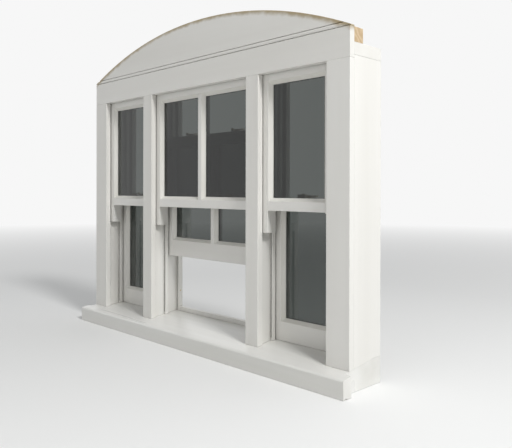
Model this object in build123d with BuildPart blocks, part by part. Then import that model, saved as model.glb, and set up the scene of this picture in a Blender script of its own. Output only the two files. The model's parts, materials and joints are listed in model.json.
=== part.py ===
from build123d import *
import math
import os

os.makedirs("parts", exist_ok=True)

# A three-light timber sliding sash window in its frame, in millimetres.
# X runs along the wall, Y from the outer face of the linings into the room, and Z up from the sill's
# underside. X is 0 at the middle of the window and Y is 0 at the face of the outer linings.

# Openings, measured between the edges of the outer linings
centre_light = 584.0
side_light = 305.0
mullion_face = 64.0
jamb_face = 92.5
opening_height = 960.0

# Sill
sill_face = 60.0
sill_nosing = 62.5
sill_slope = 7.5
sill_horn = 25.0
sill_horn_depth = 39.0
sill_arris = 8.0
drip_radius = 4.0
drip_inset = 14.0

# Linings, boards and arch
lining = 22.0
reveal = 10.0
arris = 2.0
head_board_height = 96.0
bead_height = 16.0
bead_proud = 1.0
bead_quirk = 2.5
bead_quirk_deep = 4.0
head_thick = 40.0
arch_upstand = 4.5
arch_rise = 158.0
arch_core_thick = 45.0
arch_core_drop = 4.0

# Tracks and beads
sash_thick = 44.0
play = 4.0
parting_thick = 15.0
parting_proud = 11.0
parting_sunk = 9.0
staff_deep = 25.0
staff_proud = 16.0
staff_round = 8.0
bottom_staff_height = 18.0

# Sash members: a flat, then a glazing rib beside the glass
stile_flat = 33.0
rib = 12.0
rebate = 15.0
glass_thick = 4.0
glass_clear = 2.0
ovolo_start = 29.0
ovolo_quirk = 4.0
ovolo_fillet = 3.0
putty_set = 0.6
putty_land = 2.5
side_gap = 1.5
head_gap = 1.5
foot_gap = 1.0
meeting_rail = 44.5
meeting_height = 525.5
bottom_rail = 80.0
bar_flat = 20.0
horn_length = 79.0
horn_width = 29.0
meeting_splay = 5.0
meeting_overlap = 11.0
meeting_gap = 1.5
bead_clear = 2.0
tenon_thick = 14.0
tenon_long = 12.0
tenon_shoulder = 6.0
centre_raised = 254.0

# Spiral balances, in grooves along the outer edges of the stiles
groove_wide = 18.0
groove_deep = 18.0
tube_radius = 7.0
tube_wall = 1.0
tube_centre = 10.0
tube_spare = 6.0
tube_cap = 16.0
nut_height = 12.0
rod_radius = 2.5
rod_clear = 0.3
rod_overlap = 16.0
rod_foot = 4.0
upper_travel = 380.0

# Fasteners on the meeting rails, and lifts on the bottom rails
fastener_spread = 142.0
base_length = 54.0
base_width = 22.0
plate_thick = 2.5
pivot_radius = 2.5
pivot_clear = 0.1
pivot_above = 1.0
hub_radius = 8.0
lever_lift = 5.2
lever_thick = 4.0
lever_reach = 37.0
lever_width = 9.0
tongue_clear = 1.0
knob_reach = 26.0
knob_neck = 7.0
knob_radius = 6.0
knob_round = 2.0
pivot_inset = 38.0
keep_length = 34.0
keep_lip_clear = 1.0
keep_wall = 3.0
keep_lip = 9.5
lift_width = 38.0
lift_height = 30.0
lift_reach = 20.0
lift_plate = 2.5
lift_above_foot = 30.0
lift_spread = 150.0

# Derived places
slope = math.tan(math.radians(sill_slope))
sill_line = sill_face + sill_nosing * slope
half_centre = centre_light / 2
half_inner = half_centre + mullion_face
half_outer = half_inner + side_light
half_frame = half_outer + jamb_face
lining_top = sill_line + opening_height
head_low = lining_top + reveal
head_top = head_low + head_thick
board_top = lining_top + head_board_height
bead_top = board_top + bead_height
arch_spring = board_top + arch_upstand
arch_radius = (half_frame**2 + arch_rise**2) / (2 * arch_rise)
arch_centre = arch_spring + arch_rise - arch_radius
outer_front = lining + play
outer_back = outer_front + sash_thick
parting_front = outer_back + play
inner_front = parting_front + parting_thick + play
inner_back = inner_front + sash_thick
staff_front = inner_back + play
frame_back = staff_front + staff_deep
glass_front = rebate
glass_back = rebate + glass_thick
meet_top = sill_line + meeting_height
meet_low = meet_top - meeting_rail
meet_flat = meeting_rail - rib
upper_top = head_low - head_gap
stile_wide = stile_flat + rib
bar_half = bar_flat / 2
horn_low = meet_low - horn_length
tube_length = tube_cap + tube_spare + upper_travel + rod_overlap
tube_low = head_low - tube_length

lights = {
    "left": (-(half_inner + half_outer) / 2, side_light / 2 + reveal),
    "centre": (0.0, half_centre + reveal),
    "right": ((half_inner + half_outer) / 2, side_light / 2 + reveal),
}


def weather(y):
    """Height of the sill's top at depth y: a slope, then a level seat for the staff bead."""
    return sill_line + min(y, staff_front) * slope


foot = weather(inner_front) + foot_gap


def save(part, name):
    part.label = name
    export_step(part, f"parts/{name}.step")


def block(x_range, y_range, z_range):
    """A plain length of timber between the given limits."""
    with BuildPart() as piece:
        with BuildSketch(Plane.XY.offset(z_range[0])):
            with Locations(((x_range[0] + x_range[1]) / 2, (y_range[0] + y_range[1]) / 2)):
                Rectangle(x_range[1] - x_range[0], y_range[1] - y_range[0])
        extrude(amount=z_range[1] - z_range[0])
    return piece.part


def arch_prism(radius, low, y_front, y_back):
    """Everything under the segmental arch and above the level low, across the whole frame."""
    with BuildPart() as under:
        with BuildSketch(Plane.XZ.offset(-y_back)):
            with Locations((0, arch_centre)):
                Circle(radius)
            with Locations((0, low)):
                Rectangle(2 * half_frame, 2 * radius, align=(Align.CENTER, Align.MIN), mode=Mode.INTERSECT)
        extrude(amount=y_back - y_front)
    return under.part


# Sill: weathered top, rounded nosing, drip groove, and horns that run past the frame
with BuildPart() as sill:
    with BuildSketch(Plane.YZ.offset(-half_frame - sill_horn)) as sill_section:
        Polygon(
            (-sill_nosing, 0),
            (frame_back, 0),
            (frame_back, weather(staff_front)),
            (staff_front, weather(staff_front)),
            (-sill_nosing, sill_face),
        )
        fillet(sill_section.vertices().sort_by(Axis.X)[0:2].sort_by(Axis.Y)[-1], radius=sill_arris)
        with Locations((drip_inset - sill_nosing, 0)):
            Circle(drip_radius, mode=Mode.SUBTRACT)
    extrude(amount=2 * (half_frame + sill_horn))
    horn_back = sill_horn_depth - sill_nosing
    for side in (-1, 1):
        with BuildSketch():
            with Locations((side * (half_frame + sill_horn / 2), (horn_back + frame_back) / 2)):
                Rectangle(sill_horn, frame_back - horn_back)
        extrude(amount=weather(frame_back), mode=Mode.SUBTRACT)
save(sill.part, "sill")


def upright_post(x_low, x_high, y_front, y_back, z_top):
    """A post that stands on the weathered sill, its foot cut to the slope."""
    foot_depths = [y_front, staff_front, y_back] if y_back > staff_front else [y_front, y_back]
    outline = [(y, weather(y)) for y in foot_depths] + [(y_back, z_top), (y_front, z_top)]
    with BuildPart() as post:
        with BuildSketch(Plane.YZ.offset(x_low)):
            Polygon(*outline)
        extrude(amount=x_high - x_low)
    return post.part


def groove_at(face, into):
    """The groove for a parting bead: face is the post's face, into is the way into the timber."""
    x_pair = sorted((face, face + into * parting_sunk))
    return block(x_pair, (parting_front, parting_front + parting_thick), (0, head_low))


# Jambs and mullions, grooved for the parting beads
jamb_core = half_outer + reveal
with BuildPart() as jamb_left:
    add(upright_post(-half_frame, -jamb_core, lining, frame_back, head_low))
    add(groove_at(-jamb_core, -1), mode=Mode.SUBTRACT)
save(jamb_left.part, "jamb_left")
with BuildPart() as jamb_right:
    mirror(jamb_left.part, about=Plane.YZ)
save(jamb_right.part, "jamb_right")

with BuildPart() as mullion_right:
    add(upright_post(half_centre + reveal, half_inner - reveal, lining, frame_back, head_low))
    add(groove_at(half_centre + reveal, 1), mode=Mode.SUBTRACT)
    add(groove_at(half_inner - reveal, -1), mode=Mode.SUBTRACT)
save(mullion_right.part, "mullion_right")
with BuildPart() as mullion_left:
    mirror(mullion_right.part, about=Plane.YZ)
save(mullion_left.part, "mullion_left")

# Head over the lights, grooved between the posts
with BuildPart() as head:
    add(block((-half_frame, half_frame), (lining, frame_back), (head_low, head_top)))
    for light_x, light_half in lights.values():
        add(
            block(
                (light_x - light_half, light_x + light_half),
                (parting_front, parting_front + parting_thick),
                (head_low, head_low + parting_sunk),
            ),
            mode=Mode.SUBTRACT,
        )
save(head.part, "head")

# Outer linings and mullion facings, with eased edges to the openings
with BuildPart() as outer_lining_left:
    add(upright_post(-half_frame, -half_outer, 0, lining, lining_top))
    eased = outer_lining_left.edges().filter_by(Axis.Z).group_by(Axis.X)[-1].sort_by(Axis.Y)[0]
    fillet(eased, radius=arris)
save(outer_lining_left.part, "outer_lining_left")
with BuildPart() as outer_lining_right:
    mirror(outer_lining_left.part, about=Plane.YZ)
save(outer_lining_right.part, "outer_lining_right")

with BuildPart() as mullion_facings:
    add(upright_post(half_centre, half_inner, 0, lining, lining_top))
    fillet(mullion_facings.edges().filter_by(Axis.Z).group_by(Axis.Y)[0], radius=arris)
    mirror(about=Plane.YZ)
save(mullion_facings.part, "mullion_facings")

# Head board, the bead on it with a quirk on each side, and the boards that fill the arch
with BuildPart() as head_board:
    add(block((-half_frame, half_frame), (0, lining), (lining_top, board_top)))
save(head_board.part, "head_board")

with BuildPart() as head_bead:
    with BuildSketch(Plane.YZ.offset(-half_frame)):
        quirk_low, quirk_high = board_top + bead_quirk, bead_top - bead_quirk
        with BuildLine():
            Polyline(
                (0, quirk_low),
                (bead_quirk_deep, quirk_low),
                (bead_quirk_deep, board_top),
                (lining, board_top),
                (lining, bead_top),
                (bead_quirk_deep, bead_top),
                (bead_quirk_deep, quirk_high),
                (0, quirk_high),
            )
            ThreePointArc((0, quirk_high), (-bead_proud, (board_top + bead_top) / 2), (0, quirk_low))
        make_face()
    extrude(amount=2 * half_frame)
    add(arch_prism(arch_radius, board_top, -bead_proud, lining), mode=Mode.INTERSECT)
save(head_bead.part, "head_bead")

with BuildPart() as arch_board:
    add(arch_prism(arch_radius, bead_top, 0, lining))
save(arch_board.part, "arch_board")

with BuildPart() as arch_core:
    add(arch_prism(arch_radius - arch_core_drop, head_top, lining, lining + arch_core_thick))
save(arch_core.part, "arch_core")

# Parting beads in the grooves: two upright and one across the head of each light
parting_lengths = []
for light_x, light_half in lights.values():
    for side in (-1, 1):
        face = light_x + side * light_half
        x_pair = sorted((face - side * parting_proud, face + side * parting_sunk))
        parting_lengths.append(
            upright_post(*x_pair, parting_front, parting_front + parting_thick, head_low)
        )
    parting_lengths.append(
        block(
            (light_x - light_half + parting_proud, light_x + light_half - parting_proud),
            (parting_front, parting_front + parting_thick),
            (head_low - parting_proud, head_low + parting_sunk),
        )
    )
parting_beads = Compound(children=parting_lengths)
save(parting_beads, "parting_beads")


def staff_length(plane, proud, length):
    """A staff bead: square to the sash, rounded to the room."""
    with BuildPart() as strip:
        with BuildSketch(plane) as section:
            Rectangle(proud, staff_deep, align=(Align.MIN, Align.MIN))
            fillet(section.vertices().group_by(Axis.X)[-1].sort_by(Axis.Y)[-1], radius=staff_round)
        extrude(amount=length)
    return strip.part


# Staff beads inside: two upright and one across the head, butted on a taller one along the sill
staff_lengths = []
for light_x, light_half in lights.values():
    low = weather(staff_front) + bottom_staff_height
    left_x, right_x = light_x - light_half, light_x + light_half
    left = Plane((left_x, staff_front, low), x_dir=(1, 0, 0), z_dir=(0, 0, 1))
    right = Plane((right_x, staff_front, head_low), x_dir=(-1, 0, 0), z_dir=(0, 0, -1))
    across = Plane((left_x + staff_proud, staff_front, head_low), x_dir=(0, 0, -1), z_dir=(1, 0, 0))
    seat = Plane((right_x, staff_front, weather(staff_front)), x_dir=(0, 0, 1), z_dir=(-1, 0, 0))
    staff_lengths.append(staff_length(left, staff_proud, head_low - low))
    staff_lengths.append(staff_length(right, staff_proud, head_low - low))
    staff_lengths.append(staff_length(across, staff_proud, 2 * (light_half - staff_proud)))
    staff_lengths.append(staff_length(seat, bottom_staff_height, 2 * light_half))
staff_beads = Compound(children=staff_lengths)
save(staff_beads, "staff_beads")


def member(plane, flat, length, ribs, square=False):
    """A stile or rail. In its section u runs from the outer edge to the glass and v into the room.

    The flat has the member's full length. Each rib runs over one pane and is mitred at both ends.
    """
    tip = flat + rib
    with BuildPart() as piece:
        with BuildSketch(plane):
            Rectangle(flat, sash_thick, align=(Align.MIN, Align.MIN))
        extrude(amount=length)
        for start, stop in ribs:
            with BuildSketch(plane.offset(start)):
                with BuildLine():
                    if square:
                        Polyline((flat, glass_back), (tip, glass_back), (tip, sash_thick))
                        Line((tip, sash_thick), (flat, sash_thick))
                    else:
                        quirk = (flat + ovolo_quirk, sash_thick - ovolo_fillet)
                        Polyline((flat, glass_back), (tip, glass_back), (tip, ovolo_start))
                        TangentArc((tip, ovolo_start), quirk, tangent=(0, 1))
                        Polyline(quirk, (flat + ovolo_quirk, sash_thick), (flat, sash_thick))
                    Line((flat, sash_thick), (flat, glass_back))
                make_face()
            extrude(amount=stop - start)
            with BuildSketch(Plane(plane.origin, x_dir=plane.x_dir, z_dir=plane.y_dir)):
                Polygon((flat, -start), (tip, -start), (tip, -start - rib))
                Polygon((flat, -stop), (tip, -stop), (tip, rib - stop))
            extrude(amount=sash_thick, mode=Mode.SUBTRACT)
    return piece.part


def tenon(light_x, half_flat, side, front, z_low, z_high):
    """The tenon on one end of a rail, and the mortise for it."""
    start = light_x + side * half_flat
    x_pair = sorted((start, start + side * tenon_long))
    y_low = front + (sash_thick - tenon_thick) / 2
    return block(x_pair, (y_low, y_low + tenon_thick), (z_low + tenon_shoulder, z_high - tenon_shoulder))


def foot_wedge(light_x, light_half):
    """What the sloped sill takes off the foot of a lower sash."""
    with BuildPart() as wedge:
        with BuildSketch(Plane.YZ.offset(light_x - light_half)):
            Polygon(
                (inner_front, foot - foot_gap),
                (inner_back, foot - foot_gap),
                (inner_back, foot + sash_thick * slope),
                (inner_front, foot),
            )
        extrude(amount=2 * light_half)
    return wedge.part


def balance_groove(x_edge, side, front, z_low, z_high):
    """The groove in a stile's outer edge, side being the way into the stile."""
    x_pair = sorted((x_edge, x_edge + side * groove_deep))
    y_low = front + (sash_thick - groove_wide) / 2
    return block(x_pair, (y_low, y_low + groove_wide), (z_low, z_high))


def sash(name, light, upper, lift):
    """Makes every timber, putty and glass piece of one sash, lifted by lift from its closed place."""
    light_x, light_half = lights[light]
    barred = light == "centre"
    front = outer_front if upper else inner_front
    low = horn_low if upper else foot
    top = upper_top if upper else meet_top
    half_edge = light_half - side_gap
    half_flat = half_edge - stile_flat
    top_flat = stile_flat if upper else meet_flat
    low_flat = meet_flat if upper else bottom_rail - rib
    rail_low = meet_low if upper else foot
    pane_low, pane_high = rail_low + low_flat, top - top_flat
    length = 2 * half_flat
    lap_half = light_half - parting_proud - bead_clear
    tail = outer_back + meeting_overlap
    ribs = [(0, half_flat - bar_half), (half_flat + bar_half, length)] if barred else [(0, length)]
    tenons = [
        tenon(light_x, half_flat, side, front, *span)
        for side in (-1, 1)
        for span in ((rail_low, pane_low), (pane_high, top))
    ]
    shift = Location((0, 0, lift))

    with BuildPart() as stiles:
        edge = light_x - half_edge
        stile_plane = Plane((edge, front, low), x_dir=(1, 0, 0), z_dir=(0, 0, 1))
        add(member(stile_plane, stile_flat, top - low, [(pane_low - low, pane_high - low)]))
        add(balance_groove(edge, 1, front, low, top), mode=Mode.SUBTRACT)
        if upper:
            cove = stile_flat - horn_width
            with BuildSketch(Plane.XZ.offset(-front - sash_thick)):
                with BuildLine():
                    inner, outer = edge + horn_width, edge + stile_flat
                    Polyline((inner, meet_low - cove), (inner, low), (outer, low), (outer, meet_low))
                    RadiusArc((outer, meet_low), (inner, meet_low - cove), cove)
                make_face()
            extrude(amount=sash_thick, mode=Mode.SUBTRACT)
        mirror(about=Plane.YZ.offset(light_x))
        for mortise in tenons:
            add(mortise, mode=Mode.SUBTRACT)
        if not upper:
            add(foot_wedge(light_x, light_half), mode=Mode.SUBTRACT)

    with BuildPart() as top_rail:
        rail_plane = Plane((light_x - half_flat, front, top), x_dir=(0, 0, -1), z_dir=(1, 0, 0))
        add(member(rail_plane, top_flat, length, ribs))
        add(tenons[1])
        add(tenons[3])
        if not upper:
            with BuildSketch(Plane.YZ.offset(light_x - lap_half)):
                Polygon(
                    (inner_front, meet_low),
                    (tail + meeting_gap, meet_low),
                    (tail + meeting_gap - meeting_splay, top),
                    (inner_front, top),
                )
            extrude(amount=2 * lap_half)

    with BuildPart() as low_rail:
        rail_plane = Plane((light_x + half_flat, front, rail_low), x_dir=(0, 0, 1), z_dir=(-1, 0, 0))
        add(member(rail_plane, low_flat, length, ribs, square=upper))
        add(tenons[0])
        add(tenons[2])
        if upper:
            with BuildSketch(Plane.YZ.offset(light_x - lap_half)):
                Polygon(
                    (outer_back, meet_low),
                    (tail, meet_low),
                    (tail - meeting_splay, meet_top),
                    (outer_back, meet_top),
                )
            extrude(amount=2 * lap_half)
        else:
            add(foot_wedge(light_x, light_half), mode=Mode.SUBTRACT)

    panes = [(light_x - half_flat, light_x + half_flat)]
    if barred:
        panes = [(-half_flat, -bar_half), (bar_half, half_flat)]
    with BuildPart() as glass:
        for x_low, x_high in panes:
            add(
                block(
                    (x_low + glass_clear, x_high - glass_clear),
                    (front + glass_front, front + glass_back),
                    (pane_low + glass_clear, pane_high - glass_clear),
                )
            )

    with BuildPart() as putty:
        for x_low, x_high in panes:
            middle = ((x_low + x_high) / 2, (pane_low + pane_high) / 2)
            wide, high = x_high - x_low, pane_high - pane_low
            face = Plane((middle[0], front + putty_set, middle[1]), x_dir=(1, 0, 0), z_dir=(0, -1, 0))
            with BuildSketch(face):
                Rectangle(wide, high)
            extrude(amount=putty_set - glass_front)
            with BuildSketch(face):
                Rectangle(wide - 2 * putty_set, high - 2 * putty_set)
            with BuildSketch(face.offset(putty_land + putty_set - glass_front)):
                Rectangle(wide - 2 * rib, high - 2 * rib)
            loft(mode=Mode.SUBTRACT)
            with BuildSketch(face.offset(putty_land + putty_set - glass_front)):
                Rectangle(wide - 2 * rib, high - 2 * rib)
            extrude(amount=-putty_land, mode=Mode.SUBTRACT)

    pieces = {"stiles": stiles.part, "glass": glass.part, "putty": putty.part}
    if barred:
        with BuildPart() as bar:
            bar_plane = Plane((0, front, pane_low), x_dir=(1, 0, 0), z_dir=(0, 0, 1))
            add(member(bar_plane, bar_half, pane_high - pane_low, [(0, pane_high - pane_low)]))
            mirror(about=Plane.YZ)
        pieces["top_rail"] = top_rail.part
        pieces["meeting_rail" if upper else "bottom_rail"] = low_rail.part
        pieces["bar"] = bar.part
    else:
        pieces["rails"] = Compound(children=[top_rail.part, low_rail.part])

    # Each balance rod stands on a foot in the stile's groove and runs up into its tube
    rod_low = low + foot_gap + (0 if upper else sash_thick * slope)
    rod_top = tube_low + rod_overlap + (upper_travel if upper else 0)
    y_mid = front + sash_thick / 2
    with BuildPart() as rods:
        for side in (-1, 1):
            face_x = light_x + side * light_half
            with BuildSketch(Plane.XY.offset(rod_low)):
                with Locations((face_x - side * tube_centre, y_mid)):
                    Circle(rod_radius)
            extrude(amount=rod_top - rod_low)
            edge_x = face_x - side * side_gap
            x_pair = sorted((edge_x, edge_x - side * groove_deep))
            y_low = y_mid - groove_wide / 2
            add(block(x_pair, (y_low, y_low + groove_wide), (rod_low, rod_low + rod_foot)))
    pieces["balance_rods"] = rods.part

    for piece_name, piece in pieces.items():
        save(piece.moved(shift), f"{name}_{piece_name}")


for light in lights:
    sash(f"upper_{light}", light, True, 0)
    sash(f"lower_{light}", light, False, centre_raised if light == "centre" else 0)

# Balance tubes: each hangs from a cap on the jamb or mullion just under the head, and has a nut in its
# foot that guides the rod
with BuildPart() as balance_tubes:
    for light_x, light_half in lights.values():
        for side in (-1, 1):
            for front in (outer_front, inner_front):
                y_mid = front + sash_thick / 2
                face_x = light_x + side * light_half
                tube_x = face_x - side * tube_centre
                with BuildSketch(Plane.XY.offset(tube_low)):
                    with Locations((tube_x, y_mid)):
                        Circle(tube_radius)
                        Circle(tube_radius - tube_wall, mode=Mode.SUBTRACT)
                extrude(amount=tube_length - tube_cap)
                with BuildSketch(Plane.XY.offset(tube_low)):
                    with Locations((tube_x, y_mid)):
                        Circle(tube_radius)
                        Circle(rod_radius + rod_clear, mode=Mode.SUBTRACT)
                extrude(amount=nut_height)
                x_pair = sorted((face_x, face_x - side * (tube_centre + tube_radius)))
                cap_y = (y_mid - tube_radius, y_mid + tube_radius)
                add(block(x_pair, cap_y, (head_low - tube_cap, head_low - head_gap)))
save(balance_tubes.part, "balance_tubes")

# Fasteners: a base with its lever on the lower sash's top rail, and a keep on the upper meeting rail
fasteners = {
    "left": [lights["left"][0]],
    "centre": [-fastener_spread, fastener_spread],
    "right": [lights["right"][0]],
}
pivot_y = inner_back - pivot_inset
tongue_tip = pivot_y - lever_reach
keep_back = tongue_tip - tongue_clear - keep_wall


def fastener_base(x, z):
    """A rounded plate with a boss and the pivot that the lever turns on."""
    with BuildPart() as base:
        with BuildSketch(Plane.XY.offset(z)):
            with Locations((x, pivot_y)):
                SlotOverall(base_length, base_width)
        extrude(amount=plate_thick)
        with BuildSketch(Plane.XY.offset(z)):
            with Locations((x, pivot_y)):
                Circle(hub_radius)
        extrude(amount=lever_lift - pivot_clear)
        with BuildSketch(Plane.XY.offset(z)):
            with Locations((x, pivot_y)):
                Circle(pivot_radius)
        extrude(amount=lever_lift + lever_thick + pivot_above)
    return base.part


def sash_lift(x, z):
    """A hook lift: a plate on the rail's inner face with a curled finger pull."""
    with BuildPart() as lift:
        with BuildSketch(Plane.YZ.offset(x - lift_width / 2)):
            with BuildLine():
                outer = inner_back + lift_reach
                Polyline(
                    (inner_back, z),
                    (inner_back, z + lift_height),
                    (inner_back + lift_plate, z + lift_height),
                    (inner_back + lift_plate, z + lift_plate),
                )
                Line((inner_back + lift_plate, z + lift_plate), (outer - lift_plate * 3, z + lift_plate))
                TangentArc(
                    (outer - lift_plate * 3, z + lift_plate),
                    (outer - lift_plate, z + lift_plate * 3),
                    tangent=(1, 0),
                )
                Line((outer - lift_plate, z + lift_plate * 3), (outer, z + lift_plate * 3))
                TangentArc((outer, z + lift_plate * 3), (outer - lift_plate * 3, z), tangent=(0, -1))
                Line((outer - lift_plate * 3, z), (inner_back, z))
            make_face()
        extrude(amount=lift_width)
    return lift.part


def keep(x, z):
    """A plate with a wall and a lip, under which the lever's tongue swings."""
    lip_z = z + lever_lift + lever_thick + keep_lip_clear
    x_pair = (x - keep_length / 2, x + keep_length / 2)
    with BuildPart() as catch:
        add(block(x_pair, (keep_back, outer_back), (z, z + plate_thick)))
        add(block(x_pair, (keep_back, keep_back + keep_wall), (z, lip_z)))
        add(block(x_pair, (keep_back, keep_back + keep_lip), (lip_z, lip_z + plate_thick)))
    return catch.part


def lever(x, z):
    """A cam lever lying along the rail: a tongue to one side and a knob to the other."""
    low = z + lever_lift
    with BuildPart() as arm:
        with BuildSketch(Plane.XY.offset(low)):
            with Locations((x, pivot_y)):
                Circle(hub_radius)
                Rectangle(lever_reach, lever_width, align=(Align.MIN, Align.CENTER))
                Rectangle(knob_reach, knob_neck, align=(Align.MAX, Align.CENTER))
                Circle(pivot_radius + pivot_clear / 2, mode=Mode.SUBTRACT)
        extrude(amount=lever_thick)
        with BuildSketch(Plane.XY.offset(low)):
            with Locations((x - knob_reach, pivot_y)):
                Circle(knob_radius)
        extrude(amount=lever_thick + knob_radius)
        fillet(arm.faces().sort_by(Axis.Z)[-1].edges(), radius=knob_round)
    return arm.part


for light, places in fasteners.items():
    light_x = lights[light][0]
    base_z = meet_top + (centre_raised if light == "centre" else 0)
    lift_z = foot + lift_above_foot + (centre_raised if light == "centre" else 0)
    lift_places = [-lift_spread, lift_spread] if light == "centre" else [light_x]
    fittings = [fastener_base(x, base_z) for x in places] + [sash_lift(x, lift_z) for x in lift_places]
    save(Compound(children=fittings), f"lower_{light}_fittings")
    save(Compound(children=[keep(x, meet_top) for x in places]), f"upper_{light}_keeps")
    for number, x in enumerate(places, 1):
        suffix = f"_{number}" if len(places) > 1 else ""
        save(lever(x, base_z), f"lever_{light}{suffix}")
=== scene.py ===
# %% [markdown]
# # A three-light sash window, dressed for its picture
#
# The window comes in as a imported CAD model: sill, jambs, mullions, linings, six sliding sashes, their putty,
# glass, balances and brass fittings. Its sizes and its motion are fixed there. This lesson adds what makes it
# look real: timber edges eased as a painter finds them, brushed paint with a little grime, puttied glass,
# spiral rods, screws and seals. Everything is in metres, in the model's own frame: X runs along the wall,
# Y goes into the room and Z goes up from the sill's underside.

# %% The frame and the tools
import json
import math

import bmesh
import bpy
from mathutils import Matrix, Vector

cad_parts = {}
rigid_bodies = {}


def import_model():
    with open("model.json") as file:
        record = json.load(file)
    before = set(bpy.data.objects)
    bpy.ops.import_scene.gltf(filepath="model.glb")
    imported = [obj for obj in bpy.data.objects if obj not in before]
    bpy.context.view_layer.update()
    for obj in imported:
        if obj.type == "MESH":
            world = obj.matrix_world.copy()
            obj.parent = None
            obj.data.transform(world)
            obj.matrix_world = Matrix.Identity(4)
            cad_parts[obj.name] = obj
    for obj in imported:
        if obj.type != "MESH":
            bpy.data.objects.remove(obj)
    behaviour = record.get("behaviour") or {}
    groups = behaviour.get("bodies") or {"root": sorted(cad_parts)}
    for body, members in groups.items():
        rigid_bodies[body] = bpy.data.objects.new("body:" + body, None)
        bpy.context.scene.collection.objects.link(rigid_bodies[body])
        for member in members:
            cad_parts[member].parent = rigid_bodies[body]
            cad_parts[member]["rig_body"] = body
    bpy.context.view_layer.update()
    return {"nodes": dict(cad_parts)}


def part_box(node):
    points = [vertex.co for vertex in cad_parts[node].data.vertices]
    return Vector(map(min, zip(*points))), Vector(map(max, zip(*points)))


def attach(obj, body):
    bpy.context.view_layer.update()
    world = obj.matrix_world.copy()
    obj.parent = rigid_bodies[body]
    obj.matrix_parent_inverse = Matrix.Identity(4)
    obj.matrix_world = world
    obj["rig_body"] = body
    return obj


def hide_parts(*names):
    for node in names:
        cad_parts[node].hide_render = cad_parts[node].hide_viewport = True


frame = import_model()
collection = bpy.context.scene.collection

# %% [markdown]
# ## Where things are
#
# Sizes are read back from the model's boxes, so that a piece made here stays on what carries it. The three
# lights are left, centre and right, and each has an upper sash outside and a lower sash inside.

# %% Reading the model's places
LIGHTS = ("left", "centre", "right")


def low(node):
    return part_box(node)[0]


def high(node):
    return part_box(node)[1]


half_frame = high("jamb_right").x
lining_back = high("outer_lining_left").y
arch_spring = high("head_board").z
crown = high("arch_board").z
print("frame half width", round(half_frame, 4), "crown", round(crown, 4))

# %% [markdown]
# ## Small helpers for node trees
#
# Materials and Geometry Nodes are both graphs. Each link and each value is one call, which keeps the graphs
# short enough to read.


# %% Node helpers
def add_node(tree, kind, values=(), **settings):
    """A node with its settings, and its inputs set by name or number."""
    made = tree.nodes.new(kind)
    for name, value in settings.items():
        setattr(made, name, value)
    for key, value in dict(values).items():
        if isinstance(value, bpy.types.NodeSocket):
            tree.links.new(value, made.inputs[key])
        else:
            made.inputs[key].default_value = value
    return made


def calculate(tree, operation, *values):
    return add_node(tree, "ShaderNodeMath", dict(enumerate(values)), operation=operation).outputs[0]


def group_tree(name, inputs, outputs, kind="ShaderNodeTree"):
    """An empty node group with named sockets, and its two end nodes."""
    tree = bpy.data.node_groups.new(name, kind)
    for socket_name, socket_kind, default in inputs:
        made = tree.interface.new_socket(name=socket_name, in_out="INPUT", socket_type=socket_kind)
        if default is not None:
            made.default_value = default
    for socket_name, socket_kind in outputs:
        tree.interface.new_socket(name=socket_name, in_out="OUTPUT", socket_type=socket_kind)
    return tree, tree.nodes.new("NodeGroupInput").outputs, tree.nodes.new("NodeGroupOutput").inputs


def say(tree):
    """Every group reports its size once it is built."""
    print(tree.name, "group:", len(tree.nodes), "nodes,", len(tree.links), "links")


# %% [markdown]
# ## Brush marks
#
# Gloss paint on joinery is laid off along the timber. What is left is a fine, long ripple that shows only
# where light grazes it. One group makes it for every painted piece: a noise stretched along the timber, with
# a slower one for the board's own unevenness. The stretch is an input, so a post and a rail differ by that
# value alone.

# %% Brush mark group
RIPPLE_SHARE = 0.4

brush_marks, given, result = group_tree(
    "brush_marks",
    [
        ("Stretch", "NodeSocketVector", (1, 1, 1)),
        ("Ripple", "NodeSocketFloat", 420.0),
        ("Unevenness", "NodeSocketFloat", 9.0),
    ],
    [("Height", "NodeSocketFloat"), ("Tone", "NodeSocketFloat")],
)
place = add_node(brush_marks, "ShaderNodeTexCoord").outputs["Object"]
drawn = add_node(
    brush_marks, "ShaderNodeVectorMath", {0: place, 1: given["Stretch"]}, operation="MULTIPLY"
).outputs[0]
ripple = add_node(
    brush_marks, "ShaderNodeTexNoise", {"Vector": drawn, "Scale": given["Ripple"], "Detail": 2.0}
).outputs["Fac"]
uneven = add_node(
    brush_marks, "ShaderNodeTexNoise", {"Vector": drawn, "Scale": given["Unevenness"], "Detail": 5.0}
).outputs["Fac"]
both = calculate(brush_marks, "ADD", calculate(brush_marks, "MULTIPLY", ripple, RIPPLE_SHARE), uneven)
brush_marks.links.new(both, result["Height"])
brush_marks.links.new(uneven, result["Tone"])
say(brush_marks)

# %% [markdown]
# ## Painted shade and grime in the corners
#
# The colour is darkened where shade falls, in the quirk beside a bead, under a rail and where a post meets the
# sill: this is painted shade, with some dust where a brush can't reach. Ambient occlusion finds those places
# from the shape itself, and a noise breaks its edge up.

# %% Corner shade and grime group
OPEN_FROM = 0.55
SHUT_FROM = 0.15
LEAST_SPECKS = 0.4

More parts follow.
